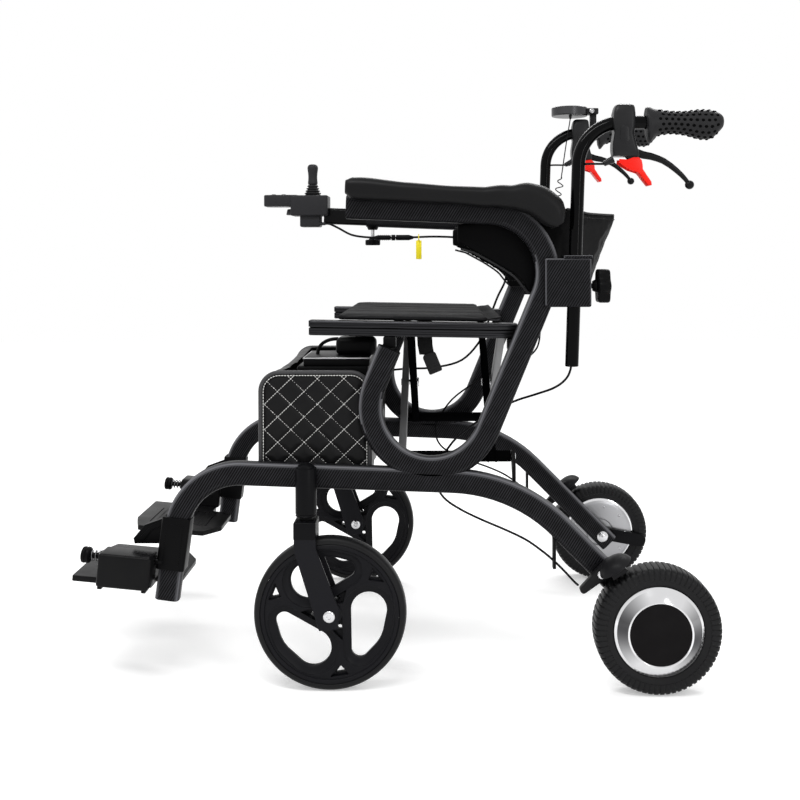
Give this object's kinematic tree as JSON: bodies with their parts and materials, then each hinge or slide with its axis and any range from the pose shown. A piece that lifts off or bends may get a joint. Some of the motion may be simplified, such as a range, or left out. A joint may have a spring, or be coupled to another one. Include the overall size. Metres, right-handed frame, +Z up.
{
  "type": "electric walker",
  "caption": "Folding rollator walker with seat, hub-motor rear wheels, swirl-spoke casters, joystick on a sliding bar, fold-up foot rests, wrap backrest and quilted bag.",
  "frame": {"origin": "on the floor, under the middle of the object's length and width", "axes": "+Z up, the user faces -X, the foot rests are at -X and the hand grips at +X, the user's left is -Y"},
  "size_m": [1.0274, 0.631, 0.9685],
  "materials": {
    "carbon_film": "gloss film with a twill weave pattern",
    "black_paint": "satin black",
    "black_plastic": "satin moulded",
    "black_rubber": "matte, fine grain",
    "tyre": "matte with cross grooves",
    "black_cloth": "woven and padded",
    "bright_metal": "polished and brushed",
    "red_plastic": "satin moulded"
  },
  "bodies": {
    "left_frame": {"base_tube_left": "carbon_film", "arm_tube_left": "carbon_film", "clamp_housing_left": "carbon_film", "arm_pad_left": "black_rubber", "caster_barrel_left": "black_paint", "axle_bracket_left": "bright_metal", "foot_bracket_left": "black_paint", "brake_cable_left": "black_rubber", "backrest": "black_cloth", "bag": "black_cloth", "battery": "black_plastic"},
    "brace_a": {"brace_a": "bright_metal"},
    "brace_b": {"brace_b": "bright_metal", "seat_pad": "black_cloth"},
    "right_frame": {"base_tube_right": "carbon_film", "arm_tube_right": "carbon_film", "clamp_housing_right": "carbon_film", "arm_pad_right": "black_rubber", "caster_barrel_right": "black_paint", "axle_bracket_right": "bright_metal", "foot_bracket_right": "black_paint", "brake_cable_right": "black_rubber", "control_cable": "black_rubber"},
    "control": {"control_body": "black_plastic", "control_bar": "black_paint", "control_bellows": "black_rubber"},
    "stick": {"control_stick": "black_plastic"},
    "clamp_knob": {"bar_knob": "black_plastic"},
    "post_left": {"handle_post_left": "black_paint", "grip_left": "black_rubber", "brake_body_left": "black_rubber"},
    "star_knob_left": {"star_knob_left": "black_plastic"},
    "brake_lever_left": {"brake_lever_left": "black_paint"},
    "park_lever_left": {"park_lever_left": "red_plastic"},
    "brake_arm_left": {"brake_arm_left": "black_paint"},
    "fork_left": {"caster_fork_left": "black_paint"},
    "front_wheel_left": {"front_wheel_left": "black_plastic", "front_tyre_left": "tyre"},
    "rear_wheel_left": {"hub_motor_left": "bright_metal", "rear_tyre_left": "tyre"},
    "footrest_left": {"footplate_left": "black_plastic", "plunger_spring_left": "bright_metal"},
    "plunger_left": {"plunger_left": "black_plastic"},
    "post_right": {"handle_post_right": "black_paint", "grip_right": "black_rubber", "brake_body_right": "black_rubber", "round_device": "black_plastic", "curly_cord": "black_rubber"},
    "star_knob_right": {"star_knob_right": "black_plastic"},
    "brake_lever_right": {"brake_lever_right": "black_paint"},
    "park_lever_right": {"park_lever_right": "red_plastic"},
    "brake_arm_right": {"brake_arm_right": "black_paint"},
    "fork_right": {"caster_fork_right": "black_paint"},
    "front_wheel_right": {"front_wheel_right": "black_plastic", "front_tyre_right": "tyre"},
    "rear_wheel_right": {"hub_motor_right": "bright_metal", "rear_tyre_right": "tyre"},
    "footrest_right": {"footplate_right": "black_plastic", "plunger_spring_right": "bright_metal"},
    "plunger_right": {"plunger_right": "black_plastic"}
  },
  "joints": [
    {"name": "fold_a", "type": "hinge", "parent": "left_frame", "child": "brace_a", "pos_m": [0.08925, -0.2, 0.345], "axis": [1, 0, 0], "range_deg": [0, 22], "deforming": ["bag", "backrest"]},
    {"name": "fold_centre", "type": "hinge", "parent": "brace_a", "child": "brace_b", "pos_m": [0.08925, 0, 0.43988], "axis": [1, 0, 0], "range_deg": [-44, 0], "deforming": ["seat_pad"]},
    {"name": "fold_b", "type": "hinge", "parent": "brace_b", "child": "right_frame", "pos_m": [0.08925, 0.2, 0.345], "axis": [1, 0, 0], "range_deg": [0, 22]},
    {"name": "control_slide", "type": "slide", "parent": "right_frame", "child": "control", "axis": [-0.9991, 0, 0.0414], "range_m": [-0.006, 0.05], "deforming": ["control_cable"]},
    {"name": "stick_tilt", "type": "hinge", "parent": "control", "child": "stick", "pos_m": [-0.18875, 0.242, 0.788], "axis": [0, 1, 0], "range_deg": [-12, 12], "stiffness_Nm_per_rad": 0.4, "deforming": ["control_bellows"]},
    {"name": "clamp_knob_turn", "type": "hinge", "parent": "right_frame", "child": "clamp_knob", "pos_m": [-0.06625, 0.238, 0.689], "axis": [0, 0, 1], "range_deg": [0, 360]},
    {"name": "post_left_slide", "type": "slide", "parent": "left_frame", "child": "post_left", "axis": [0.0365, 0, 0.9993], "range_m": [-0.05, 0.05], "deforming": ["brake_cable_left"]},
    {"name": "star_knob_left_turn", "type": "hinge", "parent": "left_frame", "child": "star_knob_left", "pos_m": [0.31375, -0.245, 0.6205], "axis": [1, 0, 0], "range_deg": [0, 360]},
    {"name": "brake_lever_left_squeeze", "type": "hinge", "parent": "post_left", "child": "brake_lever_left", "pos_m": [0.36725, -0.245, 0.8345], "axis": [0, -1, 0], "range_deg": [0, 20], "stiffness_Nm_per_rad": 0.6, "springref_deg": -8.59},
    {"name": "park_lever_left_turn", "type": "hinge", "parent": "post_left", "child": "park_lever_left", "pos_m": [0.37475, -0.245, 0.8155], "axis": [0, 1, 0], "range_deg": [0, 30]},
    {"name": "brake_arm_left_turn", "type": "hinge", "parent": "left_frame", "child": "brake_arm_left", "pos_m": [0.31525, -0.2685, 0.1767], "axis": [0, 1, 0], "range_deg": [0, 4]},
    {"name": "caster_left_swivel", "type": "hinge", "parent": "left_frame", "child": "fork_left", "pos_m": [-0.14075, -0.2678, 0.267], "axis": [0, 0, 1], "continuous": true},
    {"name": "front_wheel_left_spin", "type": "hinge", "parent": "fork_left", "child": "front_wheel_left", "pos_m": [-0.10335, -0.2678, 0.118], "axis": [0, 1, 0], "continuous": true},
    {"name": "rear_wheel_left_spin", "type": "hinge", "parent": "left_frame", "child": "rear_wheel_left", "pos_m": [0.39795, -0.2805, 0.0975], "axis": [0, 1, 0], "continuous": true},
    {"name": "footrest_left_flip", "type": "hinge", "parent": "left_frame", "child": "footrest_left", "pos_m": [-0.42075, -0.25, 0.1955], "axis": [0.9954, 0, -0.0958], "range_deg": [0, 90]},
    {"name": "plunger_left_push", "type": "slide", "parent": "footrest_left", "child": "plunger_left", "axis": [0.9954, 0, -0.0958], "range_m": [0, 0.006], "stiffness_N_per_m": 600, "springref_m": -0.006, "deforming": ["plunger_spring_left"]},
    {"name": "post_right_slide", "type": "slide", "parent": "right_frame", "child": "post_right", "axis": [0.0365, 0, 0.9993], "range_m": [-0.09, 0.01], "deforming": ["brake_cable_right", "curly_cord"]},
    {"name": "star_knob_right_turn", "type": "hinge", "parent": "right_frame", "child": "star_knob_right", "pos_m": [0.31375, 0.245, 0.6205], "axis": [1, 0, 0], "range_deg": [0, 360]},
    {"name": "brake_lever_right_squeeze", "type": "hinge", "parent": "post_right", "child": "brake_lever_right", "pos_m": [0.36871, 0.245, 0.8745], "axis": [0, -1, 0], "range_deg": [0, 20], "stiffness_Nm_per_rad": 0.6, "springref_deg": -8.59},
    {"name": "park_lever_right_turn", "type": "hinge", "parent": "post_right", "child": "park_lever_right", "pos_m": [0.37621, 0.245, 0.8555], "axis": [0, 1, 0], "range_deg": [0, 30]},
    {"name": "brake_arm_right_turn", "type": "hinge", "parent": "right_frame", "child": "brake_arm_right", "pos_m": [0.31525, 0.2685, 0.1767], "axis": [0, 1, 0], "range_deg": [0, 4]},
    {"name": "caster_right_swivel", "type": "hinge", "parent": "right_frame", "child": "fork_right", "pos_m": [-0.14075, 0.2678, 0.267], "axis": [0, 0, 1], "continuous": true},
    {"name": "front_wheel_right_spin", "type": "hinge", "parent": "fork_right", "child": "front_wheel_right", "pos_m": [-0.10335, 0.2678, 0.118], "axis": [0, 1, 0], "continuous": true},
    {"name": "rear_wheel_right_spin", "type": "hinge", "parent": "right_frame", "child": "rear_wheel_right", "pos_m": [0.39795, 0.2805, 0.0975], "axis": [0, 1, 0], "continuous": true},
    {"name": "footrest_right_flip", "type": "hinge", "parent": "right_frame", "child": "footrest_right", "pos_m": [-0.42075, 0.25, 0.1955], "axis": [-0.9954, 0, 0.0958], "range_deg": [0, 90]},
    {"name": "plunger_right_push", "type": "slide", "parent": "footrest_right", "child": "plunger_right", "axis": [0.9954, 0, -0.0958], "range_m": [0, 0.006], "stiffness_N_per_m": 600, "springref_m": -0.006, "deforming": ["plunger_spring_right"]}
  ],
  "couplings": [
    {"joint": "fold_centre", "follows": "fold_a", "ratio": -2},
    {"joint": "fold_b", "follows": "fold_a", "ratio": 1},
    {"joint": "brake_arm_left_turn", "follows": "brake_lever_left_squeeze", "ratio": 0.2},
    {"joint": "brake_arm_right_turn", "follows": "brake_lever_right_squeeze", "ratio": 0.2}
  ]
}
